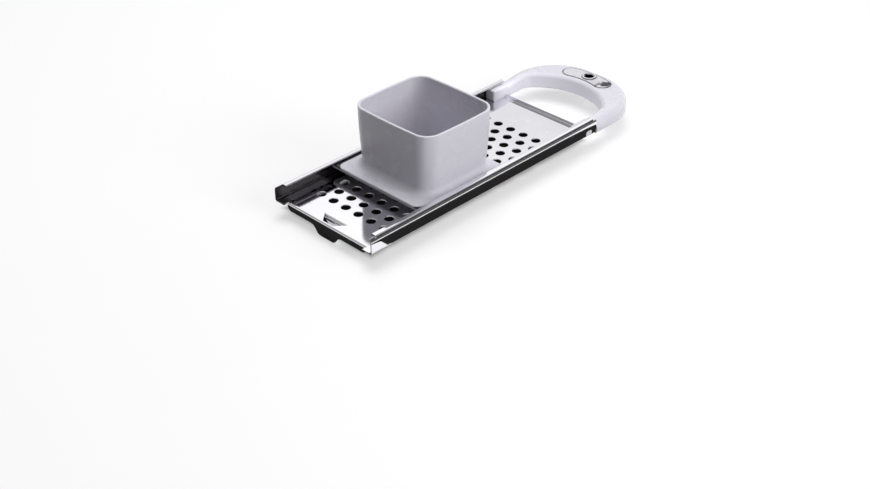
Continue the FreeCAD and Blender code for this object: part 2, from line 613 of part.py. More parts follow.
def bowed_rectangle(sketch, half_x, half_y, corner):
    """Draw a rounded rectangle whose sides bow outwards, from eight tangent arcs."""
    bow_x = "((" + half_y + ") ^ 2 + hopper_bow ^ 2) / (2 * hopper_bow)"
    bow_y = "((" + half_x + ") ^ 2 + hopper_bow ^ 2) / (2 * hopper_bow)"
    sizes = [value(text) for text in (half_x, half_y, bow_x, bow_y, corner)]
    centre, side_x, side_y = corner_centre(*sizes)
    steep = math.atan2(centre.y - side_x.y, centre.x - side_x.x)
    shallow = math.atan2(centre.y - side_y.y, centre.x - side_y.x)
    quarter = math.pi / 2
    up = FreeCAD.Vector(0, 0, 1)
    spans = []
    spans.append((side_x, sizes[2], -steep, steep))
    spans.append((centre, sizes[4], steep, shallow))
    spans.append((side_y, sizes[3], shallow, 2 * quarter - shallow))
    spans.append((FreeCAD.Vector(-centre.x, centre.y, 0), sizes[4],
                  2 * quarter - shallow, 2 * quarter - steep))
    for place, radius, first, last in list(spans):
        turned = FreeCAD.Vector(-place.x, -place.y, 0)
        spans.append((turned, radius, first + 2 * quarter, last + 2 * quarter))
    for place, radius, first, last in spans:
        circle = Part.Circle(place, up, radius)
        sketch.addGeometry(Part.ArcOfCircle(circle, first, last), False)
    count = len(spans)
    for number in range(count):
        following = (number + 1) % count
        sketch.addConstraint(Sketcher.Constraint("Tangent", number, 2, following, 1))
    for number in range(0, count, 2):
        on_x = number % 4 == 0
        bow = bow_x if on_x else bow_y
        reach = half_x if on_x else half_y
        sign = "" if number < 4 else "0 - "
        place = sign + "((" + reach + ") - (" + bow + "))"
        dimension(sketch, "Radius", (number,), bow)
        dimension(sketch, "Radius", (number + 1,), corner)
        dimension(sketch, "DistanceX", (-1, 1, number, 3), place if on_x else "0")
        dimension(sketch, "DistanceY", (-1, 1, number, 3), "0" if on_x else place)


SECTION_COUNT = 4


def taper(rim, foot, share):
    """A size between rim and foot. The walls draw in with the square of the depth."""
    return "(%s - (%s - %s) * %r ^ 2)" % (rim, rim, foot, share)


def hopper_loft(body, kind, name, inset):
    """Loft the hopper's outside, or its inside when the sections are inset by the wall."""
    sections = []
    for number in range(SECTION_COUNT):
        share = number / (SECTION_COUNT - 1)
        height = HOPPER_FOOT + " + hopper_height * (1 - %r)" % share
        section = new_sketch(body, "%s_section_%d" % (name, number), "XY_Plane", height)
        half_x = taper("hopper_rim_length", "hopper_foot_length", share) + " / 2 - " + inset
        half_y = taper("hopper_rim_width", "hopper_foot_width", share) + " / 2 - " + inset
        corner = taper("hopper_corner", "hopper_foot_corner", share) + " - " + inset
        bowed_rectangle(section, half_x, half_y, corner)
        sections.append(section)
    doc.recompute()
    loft = body.newObject(kind, name)
    loft.Profile = sections[0]
    loft.Sections = sections[1:]
    doc.recompute()


def make_hopper():
    """The walls, the flange that runs under the lips of the rails, and their blends."""
    body = new_body("hopper")
    body.setExpression(".Placement.Base.x", formula("hopper_centre"))
    hopper_loft(body, "PartDesign::AdditiveLoft", "hopper_outside", "0")
    flange = new_sketch(body, "flange_outline", "XY_Plane", FLANGE_BOTTOM)
    foot_half = "hopper_foot_length / 2"
    half = "(" + WALL_INNER + " - slide_gap)"
    front = "(0 - " + foot_half + " - flange_front)"
    rear = "(" + foot_half + " + flange_rear)"
    box_outline(flange, front, rear, "0 - " + half, half)
    pad(body, "flange", flange, "flange_thickness")
    hopper_loft(body, "PartDesign::SubtractiveLoft", "hopper_inside", "hopper_wall")
    flange_levels = (value(FLANGE_BOTTOM), value(FLANGE_TOP))
    rim_top = value(HOPPER_FOOT + " + hopper_height")
    flange_half = value(half)
    ends = (value(front), value(rear))

    def flat_at(box, level):
        return near(box.ZMin, level) and near(box.ZMax, level)

    def on_border(middle):
        return near(abs(middle.y), flange_half) or any(near(middle.x, end) for end in ends)

    def is_inside(middle):
        margin = value("flange_corner / 2")
        return (abs(middle.y) < flange_half - margin
                and ends[0] + margin < middle.x < ends[1] - margin)
    round_edges(body, "flange_corners", "flange_corner",
                lambda box, middle: runs_along_z(box) and near(abs(middle.y), flange_half))
    round_edges(body, "foot_blend", "foot_blend",
                lambda box, middle: flat_at(box, flange_levels[1]) and is_inside(middle))
    round_edges(body, "flange_edges", "flange_edge",
                lambda box, middle: any(flat_at(box, level) for level in flange_levels)
                and on_border(middle))
    round_edges(body, "rim_round", "hopper_edge", lambda box, middle: flat_at(box, rim_top))
    return body


# ---------------------------------------------------------------- handle

def make_bow(body):
    """The bow and its two arms behind the tray, as one rounded plate."""
    thickness = "(handle_top + handle_drop)"
    corner_x = "(" + BOW_END + " - bow_corner)"
    corner_y = "(" + ARM_OUTER + " - bow_corner)"
    grip_x = "(%s + sqrt(%s ^ 2 - %s ^ 2))" % (GRIP_CENTRE, GRIP_RADIUS, ARM_INNER)
    plan = new_sketch(body, "bow_plan", "XY_Plane", "0 - handle_drop")
    corners = [(BOW_START, "0 - " + ARM_OUTER), (corner_x, "0 - " + ARM_OUTER)]
    corners += [(BOW_END, "0 - " + corner_y), (BOW_END, corner_y), (corner_x, ARM_OUTER)]
    corners += [(BOW_START, ARM_OUTER), (BOW_START, ARM_INNER)]
    corners += [(grip_x, ARM_INNER), (grip_x, "0 - " + ARM_INNER)]
    corners += [(BOW_START, "0 - " + ARM_INNER)]
    arcs = {1: (1, "bow_corner"), 3: (1, "bow_corner"), 7: (-1, GRIP_RADIUS)}
    outline(plan, corners, arcs)
    pad(body, "bow", plan, thickness)
    rise_end = "(" + REAR + " + arm_rise)"
    above = new_sketch(body, "arm_rise_side", "XZ_Plane", "0 - " + ARM_OUTER)
    climb = "(handle_top - " + ARM_TOP + ")"
    run = "(arm_rise - fit_gap)"
    rise_radius = "((%s ^ 2 + %s ^ 2) / (4 * %s))" % (run, climb, climb)
    halfway = ("(" + BOW_START + " + " + run + " / 2)", "(" + ARM_TOP + " + " + climb + " / 2)")
    outline(above, [(BOW_START, ARM_TOP), halfway, (rise_end, "handle_top"),
                    (BOW_START, "handle_top")], {0: (1, rise_radius), 1: (-1, rise_radius)})
    pocket(body, "arm_rise_cut", above, "2 * " + ARM_OUTER, backwards=True)
    start = value(BOW_START)
    grip = value(grip_x)
    inner = value(ARM_INNER)
    arm_top = value(ARM_TOP)
    bottom = value("0 - handle_drop")
    round_edges(body, "grip_corners", "grip_corner",
                lambda box, middle: runs_along_z(box) and near(middle.x, grip))

    def beyond(middle):
        return middle.x > start + LINEAR_TOLERANCE

    def is_inner(middle):
        return abs(middle.y) < inner + LINEAR_TOLERANCE and middle.x < value(BOW_END) - 1

    def on_top(box, middle):
        across_arm = near(box.XMin, box.XMax) and box.YMin * box.YMax > 0
        return box.ZMin > arm_top - LINEAR_TOLERANCE and beyond(middle) and not across_arm
    round_edges(body, "top_outer_round", "top_outer_round",
                lambda box, middle: on_top(box, middle) and not is_inner(middle))
    round_edges(body, "top_inner_round", "top_inner_round",
                lambda box, middle: on_top(box, middle) and is_inner(middle))
    round_edges(body, "bottom_round", "bottom_round",
                lambda box, middle: near(box.ZMin, bottom) and near(box.ZMax, bottom)
                and beyond(middle))


def rounded_bar(body, name, start, end, sign, outer_round, inner_round):
    """One arm's stretch inside the tray, drawn as a section with round upper edges and a
    lower outer edge that clears the floor's bend."""
    floor = "sheet"
    foot = "(floor_bend + 2 * fit_gap)"
    top = ARM_TOP
    inner = ARM_INNER
    outer = ARM_CHANNEL
    corners = [(inner, floor), (outer + " - " + foot, floor), (outer, floor + " + " + foot)]
    corners += [(outer, top + " - " + outer_round), ("(%s - %s)" % (outer, outer_round), top)]
    corners += [("(%s + %s)" % (inner, inner_round), top), (inner, top + " - " + inner_round)]
    turn = 1 if sign == "1" else -1
    section = new_sketch(body, name, "YZ_Plane", start)
    mirrored = [("(%s * (%s))" % (sign, across), up) for across, up in corners]
    outline(section, mirrored, {1: (turn, foot), 3: (turn, outer_round), 5: (turn, inner_round)})
    pad(body, name + "_pad", section, end + " - " + start)


def make_arm(body, side, sign):
    """One arm's end inside the rail, with its shoulder and its snap lug."""
    insert_front = "(" + REAR + " - arm_insert)"
    shoulder = "(" + REAR + " - lip_end_gap + fit_gap)"
    shoulder_round = "(top_outer_round - handle_proud - sheet - fit_gap)"
    rounded_bar(body, "insert_" + side, insert_front, shoulder, sign, "insert_round",
                "insert_round")
    rounded_bar(body, "shoulder_" + side, shoulder, BOW_START, sign, shoulder_round,
                "top_inner_round")
    front = value(insert_front)
    side_y = float(sign) * value(ARM_INNER)
    round_edges(body, "arm_end_" + side, "arm_end_round",
                lambda box, middle: runs_along_z(box) and near(middle.x, front)
                and near(middle.y, side_y))
    lug = new_sketch(body, "lug_" + side, "XZ_Plane", "0 - %s * (%s - fit_gap)" % (sign, ARM_CHANNEL))
    slot_outline(lug, REAR + " - lug_inset", "lug_height", "lug_length - 2 * fit_gap",
                 "lug_width - 2 * fit_gap")
    pad(body, "lug_" + side + "_pad", lug, "2 * fit_gap + sheet", backwards=sign == "1")


def make_cores(body):
    """Moulding cores in the underside: pairs of pockets in the arms and along the bow."""
    arm_depth = "(" + ARM_TOP + " + handle_drop - core_top)"
    bow_depth = "(handle_top + handle_drop - core_top)"
    inner = "(" + ARM_INNER + " + core_wall)"
    outer = "(" + ARM_OUTER + " - core_wall)"
    for side, sign in (("near", "-1"), ("far", "1")):
        for number in range(ARM_CORE_COUNT):
            start = "(%s + arm_core_start + %d * (arm_core_length + core_rib))" % (REAR, number)
            end = "(" + start + " + arm_core_length)"
            core = new_sketch(body, "arm_core_%s_%d" % (side, number), "XY_Plane", "0 - handle_drop")
            low, high = (inner, outer) if sign == "1" else ("0 - " + outer, "0 - " + inner)
            box_outline(core, start, end, low, high)
            pocket(body, "arm_core_%s_%d_cut" % (side, number), core, arm_depth, backwards=True)
        for number in range(BOW_CORE_COUNT):
            first = "(bow_core_first + %d * bow_core_step)" % number
            last = "(" + first + " + bow_core_sweep)"
            near_radius = "(" + GRIP_RADIUS + " + core_wall)"
            far_radius = "(" + GRIP_RADIUS + " + core_wall + bow_core_depth)"
            core = new_sketch(body, "bow_core_%s_%d" % (side, number), "XY_Plane", "0 - handle_drop")
            sector_outline(core, GRIP_CENTRE, near_radius, far_radius, first, last, sign)
            pocket(body, "bow_core_%s_%d_cut" % (side, number), core, bow_depth, backwards=True)


def sector_outline(sketch, centre_x, near_radius, far_radius, first, last, sign):
    """Draw a sector between two radii and two angles from the X axis, on one side."""
    def spot(radius, angle):
        along = "(%s + %s * cos(%s * 1 deg))" % (centre_x, radius, angle)
        across = "(%s * %s * sin(%s * 1 deg))" % (sign, radius, angle)
        return along, across
    turn = 1 if sign == "1" else -1
    corners = [spot(near_radius, first), spot(far_radius, first)]
    corners += [spot(far_radius, last), spot(near_radius, last)]
    outline(sketch, corners, {1: (turn, far_radius), 3: (-turn, near_radius)})


def make_handle():
    body = new_body("handle")
    make_bow(body)
    make_arm(body, "near", "-1")
    make_arm(body, "far", "1")
    make_cores(body)
    recess = new_sketch(body, "inlay_recess", "XY_Plane", INLAY_BOTTOM)
    inlay_outline(recess, "inlay_gap")
    pocket(body, "inlay_recess_cut", recess, "inlay_thickness", backwards=True)
    hole = new_sketch(body, "eyelet_hole", "XY_Plane", "0 - handle_drop")
    circle_outline(hole, EYELET_X, EYELET_OUTER + " + eyelet_fit")
    pocket(body, "eyelet_hole_cut", hole, "2 * handle_top", backwards=True)
    seat = new_sketch(body, "eyelet_seat", "XY_Plane", "0 - handle_drop")
    circle_outline(seat, EYELET_X, "eyelet_rim / 2 + fit_gap")
    pocket(body, "eyelet_seat_cut", seat, "eyelet_rim_height", backwards=True)
    return body


# ---------------------------------------------------------------- inlay plate and eyelet

def circle_outline(sketch, centre_x, radius):
    """Draw one circle whose centre lies on the X axis."""
    centre = FreeCAD.Vector(value(centre_x), 0, 0)
    sketch.addGeometry(Part.Circle(centre, FreeCAD.Vector(0, 0, 1), value(radius)), False)
    dimension(sketch, "DistanceX", (-1, 1, 0, 3), centre_x)
    dimension(sketch, "DistanceY", (-1, 1, 0, 3), "0")
    dimension(sketch, "Radius", (0,), radius)


def inlay_outline(sketch, gap):
    """Draw the inlay's curved strip with its round ends, let out by a gap all round."""
    inner = "(inlay_inner - " + gap + ")"
    outer = "(inlay_outer + " + gap + ")"
    middle = "((inlay_inner + inlay_outer) / 2)"
    end_radius = "((inlay_outer - inlay_inner) / 2 + " + gap + ")"

    def spot(radius, sign):
        along = "(%s + %s * cos(inlay_angle * 1 deg))" % (INLAY_CENTRE_X, radius)
        across = "(%s * %s * sin(inlay_angle * 1 deg))" % (sign, radius)
        return along, across

    def tip(sign):
        along = "(%s + %s * cos(inlay_angle * 1 deg) - %s * sin(inlay_angle * 1 deg))"
        across = "(%s * (%s * sin(inlay_angle * 1 deg) + %s * cos(inlay_angle * 1 deg)))"
        return along % (INLAY_CENTRE_X, middle, end_radius), across % (sign, middle, end_radius)

    corners = [tip("-1"), spot(outer, "-1"), spot(outer, "1"), tip("1"), spot(inner, "1")]
    corners += [spot(inner, "-1")]
    outline(sketch, corners, {0: (1, end_radius), 1: (1, outer), 2: (1, end_radius),
                              3: (1, end_radius), 4: (-1, inner), 5: (1, end_radius)})


def make_inlay():
    body = new_body("handle_inlay")
    plan = new_sketch(body, "inlay_plan", "XY_Plane", INLAY_BOTTOM)
    inlay_outline(plan, "0")
    pad(body, "inlay_plate", plan, "inlay_thickness")
    top = value(INLAY_TOP)
    round_edges(body, "inlay_bevel", "inlay_bevel",
                lambda box, middle: near(box.ZMin, top) and near(box.ZMax, top),
                "PartDesign::Chamfer", "Size")
    hole = new_sketch(body, "inlay_hole", "XY_Plane", INLAY_BOTTOM)
    circle_outline(hole, EYELET_X, EYELET_OUTER + " + eyelet_fit")
    pocket(body, "inlay_hole_cut", hole, "inlay_thickness", backwards=True)
    return body


def make_eyelet():
    """A tubular rivet: its upper rim holds the inlay down, its lower rim sits in the handle."""
    body = new_body("hanging_eyelet")
    body.setExpression(".Placement.Base.x", formula(EYELET_X))
    bore = "(eyelet_bore / 2)"
    rim = "(eyelet_rim / 2)"
    rim_top = "(" + INLAY_TOP + " + eyelet_rim_height)"
    bottom = "(0 - handle_drop)"
    seat = "(eyelet_rim_height - handle_drop)"
    mouth = "(" + bore + " + eyelet_rim_height)"
    profile = new_sketch(body, "eyelet_profile", "XZ_Plane", "0")
    corners = [(bore, seat), (mouth, bottom), (rim, bottom), (rim, seat), (EYELET_OUTER, seat)]
    corners += [(EYELET_OUTER, INLAY_TOP), (rim, INLAY_TOP)]
    corners += [("(" + rim + " - eyelet_rim_height)", rim_top), (mouth, rim_top), (bore, INLAY_TOP)]
    outline(profile, corners)
    turned = body.newObject("PartDesign::Revolution", "eyelet_turned")
    turned.Profile = profile
    turned.ReferenceAxis = (profile, ["V_Axis"])
    turned.Angle = 360
    doc.recompute()
    return body


# ---------------------------------------------------------------- assembly and export

tray = make_tray()
hopper = make_hopper()
handle = make_handle()
inlay = make_inlay()
eyelet = make_eyelet()
doc.recompute()

for item in doc.Objects:
    failed = [state for state in item.State if state in ("Invalid", "Error")]
    assert not failed, item.Name + " did not compute"
for body in (tray, hopper, handle, inlay, eyelet):
    assert not body.Shape.isNull(), body.Label + " has no shape"
    assert body.Shape.isValid(), body.Label + " is not a valid shape"
    assert len(body.Shape.Solids) == 1, body.Label + " is not one solid"
for body in (tray, hopper, handle, inlay, eyelet):
    body.Shape.exportStep("parts/" + body.Label + ".step")
    print(body.Label, round(body.Shape.Volume), "mm3")
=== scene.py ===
import math

import bpy
from mathutils import Matrix, Vector
from mathutils.bvhtree import BVHTree


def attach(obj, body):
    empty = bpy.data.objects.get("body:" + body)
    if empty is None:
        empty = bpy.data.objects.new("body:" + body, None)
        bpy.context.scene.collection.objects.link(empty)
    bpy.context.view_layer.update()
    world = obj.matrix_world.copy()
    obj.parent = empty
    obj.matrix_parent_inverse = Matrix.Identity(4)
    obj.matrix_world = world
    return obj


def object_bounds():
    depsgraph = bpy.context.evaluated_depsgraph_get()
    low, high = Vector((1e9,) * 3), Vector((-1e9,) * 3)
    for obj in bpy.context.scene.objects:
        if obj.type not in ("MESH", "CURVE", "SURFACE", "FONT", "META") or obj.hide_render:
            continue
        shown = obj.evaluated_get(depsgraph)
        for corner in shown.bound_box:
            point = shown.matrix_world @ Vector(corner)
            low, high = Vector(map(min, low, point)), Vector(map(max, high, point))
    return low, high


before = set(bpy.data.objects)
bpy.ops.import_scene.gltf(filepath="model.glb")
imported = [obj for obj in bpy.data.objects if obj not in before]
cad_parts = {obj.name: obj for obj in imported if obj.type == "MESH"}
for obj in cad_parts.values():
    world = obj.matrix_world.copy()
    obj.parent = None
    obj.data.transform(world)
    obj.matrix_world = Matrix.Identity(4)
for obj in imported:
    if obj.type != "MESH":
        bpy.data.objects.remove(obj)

CAD_LOW, CAD_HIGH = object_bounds()

# A spaetzle maker: a perforated steel tray, a white hopper that slides along its rails and
# a white bow handle with a steel inlay. +X runs towards the handle, +Z up, in metres.


# ---------------------------------------------------------------- camera
# The camera stands in front of the tray's tongue and to its near side, and looks down
# along the tray at about a third of a right angle.

SENSOR = 36.0
FOCAL_PIXELS = 1352.0
FRAME_PIXELS = 870.0
CAMERA_PLACE = Vector((-0.67279, -0.65615, 0.54699))
CAMERA_TURN = math.radians(45.35)
CAMERA_DROP = math.radians(33.56)
CAMERA_ROLL = math.radians(-0.15)
CLIP_START = 0.01
CLIP_END = 20.0

ahead = Vector((math.sin(CAMERA_TURN) * math.cos(CAMERA_DROP),
                math.cos(CAMERA_TURN) * math.cos(CAMERA_DROP),
                -math.sin(CAMERA_DROP)))
level_right = Vector((math.cos(CAMERA_TURN), -math.sin(CAMERA_TURN), 0.0))
level_up = level_right.cross(ahead)
right = level_right * math.cos(CAMERA_ROLL) + level_up * math.sin(CAMERA_ROLL)
up = level_up * math.cos(CAMERA_ROLL) - level_right * math.sin(CAMERA_ROLL)

camera_data = bpy.data.cameras.new("camera")
camera_data.sensor_width = SENSOR
camera_data.lens = FOCAL_PIXELS / FRAME_PIXELS * SENSOR
camera_data.clip_start = CLIP_START
camera_data.clip_end = CLIP_END
camera = bpy.data.objects.new("camera", camera_data)
bpy.context.scene.collection.objects.link(camera)
turn = Matrix((right, up, -ahead)).transposed()
camera.matrix_world = Matrix.Translation(CAMERA_PLACE) @ turn.to_4x4()
bpy.context.scene.camera = camera
bpy.context.scene.view_settings.view_transform = "Standard"


# ---------------------------------------------------------------- tray
# One sheet of polished stainless steel, punched, folded and lanced in a press. Polishing
# leaves fine hair lines along the tray, and handling leaves smudges and small scratches.

LINE_SCALE = 2600.0
LINE_DETAIL = 3.0
LINE_STRETCH = 0.012
STREAK_SCALE = 160.0
STREAK_DETAIL = 2.0
STREAK_STRETCH = 0.05
CLOUD_DETAIL = 5.0
CLOUD_ROUGHNESS = 0.62
CLOUD_DISTORTION = 0.6
CLOUD_START = 0.48
CLOUD_END = 0.72
SCRATCH_TURNS = (0.35, 1.15, 2.2)
SCRATCH_STRETCH = 0.12
BREAK_SCALE = 55.0
BREAK_DETAIL = 2.0
BREAK_LEVEL = 0.56

STEEL_COLOUR = (0.885, 0.88, 0.925, 1.0)
STAIN_COLOUR = (0.76, 0.73, 0.70, 1.0)
# Painted shade for the inner walls under the lips.
RAIL_SHADE_COLOUR = (0.24, 0.23, 0.225, 1.0)
STEEL_ROUGHNESS = 0.03
STREAK_ROUGHNESS = 0.03
SCRATCH_ROUGHNESS = 0.08
STEEL_BUMP = 0.03
EDGE_ROUND = 0.0004
EDGE_SAMPLES = 4
BUMP_DISTANCE = 0.0002
WALL_FACE = 0.0536
SWELL_START = 0.0072
SWELL_END = 0.0120
SWELL_SLOPE = 0.42
RAIL_SHADE_START = 0.0498
RAIL_SHADE_END = 0.0522
RAIL_SHADE_TOP = 0.0116


def new_material(name):
    """An empty material with its output and one Principled shader joined to it."""
    material = bpy.data.materials.new(name)
    material.use_nodes = True
    tree = material.node_tree
    tree.nodes.clear()
    output = tree.nodes.new("ShaderNodeOutputMaterial")
    shader = tree.nodes.new("ShaderNodeBsdfPrincipled")
    tree.links.new(shader.outputs["BSDF"], output.inputs["Surface"])
    return material, tree, shader


def new_group(name, inputs, outputs):
    """A node group with float inputs (name, default) and outputs (name, socket type)."""
    tree = bpy.data.node_groups.new(name, "ShaderNodeTree")
    for label, default in inputs:
        socket = tree.interface.new_socket(label, in_out="INPUT", socket_type="NodeSocketFloat")
        socket.default_value = default
    for label, kind in outputs:
        tree.interface.new_socket(label, in_out="OUTPUT", socket_type=kind)
    entry = tree.nodes.new("NodeGroupInput")
    leave = tree.nodes.new("NodeGroupOutput")
    return tree, entry, leave


def place_group(tree, group, **values):
    """Place a group in a material with its own values."""
    made = node(tree, "ShaderNodeGroup", node_tree=group)
    for label, number in values.items():
        made.inputs[label].default_value = number
    return made


def node(tree, kind, **settings):
    """Add a node and set its plain properties."""
    made = tree.nodes.new(kind)
    for name, setting in settings.items():
        setattr(made, name, setting)
    return made


def feed(tree, source, socket):
    """Join another node's output to a socket, or set the socket to a plain value."""
    if isinstance(source, bpy.types.NodeSocket):
        tree.links.new(source, socket)
    else:
        socket.default_value = source


def math_node(tree, operation, *operands):
    """Add a math node. Each operand is a number or another node's output."""
    made = node(tree, "ShaderNodeMath", operation=operation)
    for number, operand in enumerate(operands):
        feed(tree, operand, made.inputs[number])
    return made.outputs[0]


def vector_node(tree, operation, *operands):
    """Add a vector math node to other nodes' outputs."""
    made = node(tree, "ShaderNodeVectorMath", operation=operation)
    for number, operand in enumerate(operands):
        feed(tree, operand, made.inputs[number])
    return made


def ramp(tree, value, start, end, first=0.0, last=1.0, kind="SMOOTHSTEP"):
    """A value that goes from first to last while another goes from start to end."""
    made = node(tree, "ShaderNodeMapRange", interpolation_type=kind)
    for label, number in (("From Min", start), ("From Max", end), ("To Min", first),
                          ("To Max", last)):
        made.inputs[label].default_value = number
    tree.links.new(value, made.inputs["Value"])
    return made.outputs["Result"]


def mix_colours(tree, share, first, second):
    """Mix two colours by a share. Each is a plain colour or another node's output."""
    made = node(tree, "ShaderNodeMix", data_type="RGBA")
    feed(tree, share, made.inputs["Factor"])
    feed(tree, first, made.inputs["A"])
    feed(tree, second, made.inputs["B"])
    return made.outputs["Result"]


def object_place(tree):
    """The point on the piece, in the piece's own metres."""
    return node(tree, "ShaderNodeTexCoord").outputs["Object"]


def split(tree, vector):
    """The X, Y and Z of a vector."""
    made = node(tree, "ShaderNodeSeparateXYZ")
    tree.links.new(vector, made.inputs["Vector"])
    return made.outputs["X"], made.outputs["Y"], made.outputs["Z"]


def stretched(tree, vector, along, across, upward):
    """The point scaled differently along each axis."""
    made = node(tree, "ShaderNodeMapping")
    made.inputs["Scale"].default_value = (along, across, upward)
    tree.links.new(vector, made.inputs["Vector"])
    return made.outputs["Vector"]


def noise_at(tree, vector, scale, detail, roughness=0.5):
    """A noise texture read at a point."""
    made = node(tree, "ShaderNodeTexNoise")
    made.inputs["Scale"].default_value = scale
    made.inputs["Detail"].default_value = detail
    made.inputs["Roughness"].default_value = roughness
    tree.links.new(vector, made.inputs["Vector"])
    return made.outputs["Fac"]


def soft_edge(tree, radius, samples):
    """The normal, rounded at the piece's own edges."""
    made = node(tree, "ShaderNodeBevel", samples=samples)
    made.inputs["Radius"].default_value = radius
    return made.outputs["Normal"]


def add_bump(tree, shader, height, strength, distance, normal=None):
    """Bump the shader's surface by a height, over another normal if there is one."""
    bump = node(tree, "ShaderNodeBump")
    bump.inputs["Strength"].default_value = strength
    bump.inputs["Distance"].default_value = distance
    tree.links.new(height, bump.inputs["Height"])
    if normal is not None:
        tree.links.new(normal, bump.inputs["Normal"])
    tree.links.new(bump.outputs["Normal"], shader.inputs["Normal"])


def make_hair_lines():
    """Fine polishing lines along X: a height, and a streaky mask from 0 to 1."""
    tree, entry, leave = new_group(
        "hair_lines", [], [("Height", "NodeSocketFloat"), ("Streak", "NodeSocketFloat")])
    place = object_place(tree)
    fine = noise_at(tree, stretched(tree, place, LINE_STRETCH, 1.0, 1.0), LINE_SCALE, LINE_DETAIL)
    broad = noise_at(tree, stretched(tree, place, STREAK_STRETCH, 1.0, 1.0), STREAK_SCALE,
                     STREAK_DETAIL)
    tree.links.new(fine, leave.inputs["Height"])
    tree.links.new(broad, leave.inputs["Streak"])
    return tree


def make_smudges():
    """Soft patches left by drying water and by fingers: a mask from 0 to 1."""
    tree, entry, leave = new_group(
        "smudges", [("Scale", 28.0), ("Amount", 0.5)], [("Mask", "NodeSocketFloat")])
    cloud = node(tree, "ShaderNodeTexNoise")
    cloud.inputs["Detail"].default_value = CLOUD_DETAIL
    cloud.inputs["Roughness"].default_value = CLOUD_ROUGHNESS
    cloud.inputs["Distortion"].default_value = CLOUD_DISTORTION
    tree.links.new(entry.outputs["Scale"], cloud.inputs["Scale"])
    tree.links.new(object_place(tree), cloud.inputs["Vector"])
    lifted = ramp(tree, cloud.outputs["Fac"], CLOUD_START, CLOUD_END, kind="LINEAR")
    tree.links.new(math_node(tree, "MULTIPLY", lifted, entry.outputs["Amount"]),
                   leave.inputs["Mask"])
    return tree


def make_scratches():
    """Short fine scratches in a few directions: a mask from 0 to 1."""
    tree, entry, leave = new_group(
        "scratches", [("Scale", 90.0), ("Width", 0.02)], [("Mask", "NodeSocketFloat")])
    place = object_place(tree)
    total = 0.0
    for angle in SCRATCH_TURNS:
        turned = node(tree, "ShaderNodeMapping")
        turned.inputs["Rotation"].default_value = (0.0, 0.0, angle)
        turned.inputs["Scale"].default_value = (1.0, SCRATCH_STRETCH, 1.0)
        tree.links.new(place, turned.inputs["Vector"])
        cells = node(tree, "ShaderNodeTexVoronoi", feature="DISTANCE_TO_EDGE")
        tree.links.new(entry.outputs["Scale"], cells.inputs["Scale"])
        tree.links.new(turned.outputs["Vector"], cells.inputs["Vector"])
        line = math_node(tree, "LESS_THAN", cells.outputs["Distance"], entry.outputs["Width"])
        total = math_node(tree, "MAXIMUM", total, line)
    broken = noise_at(tree, place, BREAK_SCALE, BREAK_DETAIL)
    kept = math_node(tree, "GREATER_THAN", broken, BREAK_LEVEL)
    tree.links.new(math_node(tree, "MULTIPLY", total, kept), leave.inputs["Mask"])
    return tree


HAIR_LINES = make_hair_lines()
SMUDGES = make_smudges()
SCRATCHES = make_scratches()


def wall_swell(tree, normal):
    """The outer walls swell a little under the lips, so their normals lean up there."""
    x, y, z = split(tree, object_place(tree))
    side = math_node(tree, "GREATER_THAN", math_node(tree, "ABSOLUTE", y), WALL_FACE)
    lean = ramp(tree, z, SWELL_START, SWELL_END, 0.0, SWELL_SLOPE)
    upward = node(tree, "ShaderNodeCombineXYZ")
    tree.links.new(math_node(tree, "MULTIPLY", side, lean), upward.inputs["Z"])
    total = vector_node(tree, "ADD", normal, upward.outputs["Vector"])
    return vector_node(tree, "NORMALIZE", total.outputs["Vector"]).outputs["Vector"]


def rail_wall_painted_shade(tree):
    """1 on the inner faces of the side walls under the lips, where painted shade darkens the
    steel.
    """
    x, y, z = split(tree, object_place(tree))
    aside = math_node(tree, "ABSOLUTE", y)
    near_wall = ramp(tree, aside, RAIL_SHADE_START, RAIL_SHADE_END)
    inside = math_node(tree, "MULTIPLY", math_node(tree, "LESS_THAN", aside, WALL_FACE),
                       math_node(tree, "LESS_THAN", z, RAIL_SHADE_TOP))
    return math_node(tree, "MULTIPLY", near_wall, inside)


def make_tray_steel():
    """Mirror-polished stainless steel with hair lines, smudges, scratches, soft edges and painted
    shade on the inner walls.
    """
    material, tree, shader = new_material("tray_steel")
    shader.inputs["Metallic"].default_value = 1.0
    lines = place_group(tree, HAIR_LINES)
    marks = place_group(tree, SMUDGES, Scale=30.0, Amount=0.07)
    stains = place_group(tree, SMUDGES, Scale=11.0, Amount=0.35)
    scratches = place_group(tree, SCRATCHES, Scale=60.0, Width=0.012)
    clean = mix_colours(tree, stains.outputs["Mask"], STEEL_COLOUR, STAIN_COLOUR)
    # The inner walls under the lips get painted shade.
    tree.links.new(mix_colours(tree, rail_wall_painted_shade(tree), clean, RAIL_SHADE_COLOUR),
                   shader.inputs["Base Color"])
    rough = math_node(tree, "MULTIPLY_ADD", lines.outputs["Streak"], STREAK_ROUGHNESS,
                      STEEL_ROUGHNESS)
    rough = math_node(tree, "ADD", rough, marks.outputs["Mask"])
    scuffed = math_node(tree, "MULTIPLY", scratches.outputs["Mask"], SCRATCH_ROUGHNESS)
    tree.links.new(math_node(tree, "ADD", rough, scuffed), shader.inputs["Roughness"])
    add_bump(tree, shader, lines.outputs["Height"], STEEL_BUMP, BUMP_DISTANCE,
             wall_swell(tree, soft_edge(tree, EDGE_ROUND, EDGE_SAMPLES)))
    return material


def dress(name, material):
    """Give a CAD node its finish."""
    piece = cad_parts[name]
    piece.data.materials.clear()
    piece.data.materials.append(material)
    return piece


dress("perforated_tray", make_tray_steel())


# ---------------------------------------------------------------- hopper and handle
# Two injection mouldings in white plastic, smooth with a slight orange peel. The hopper
# slides in the rails, and the handle is snapped into their rear ends.

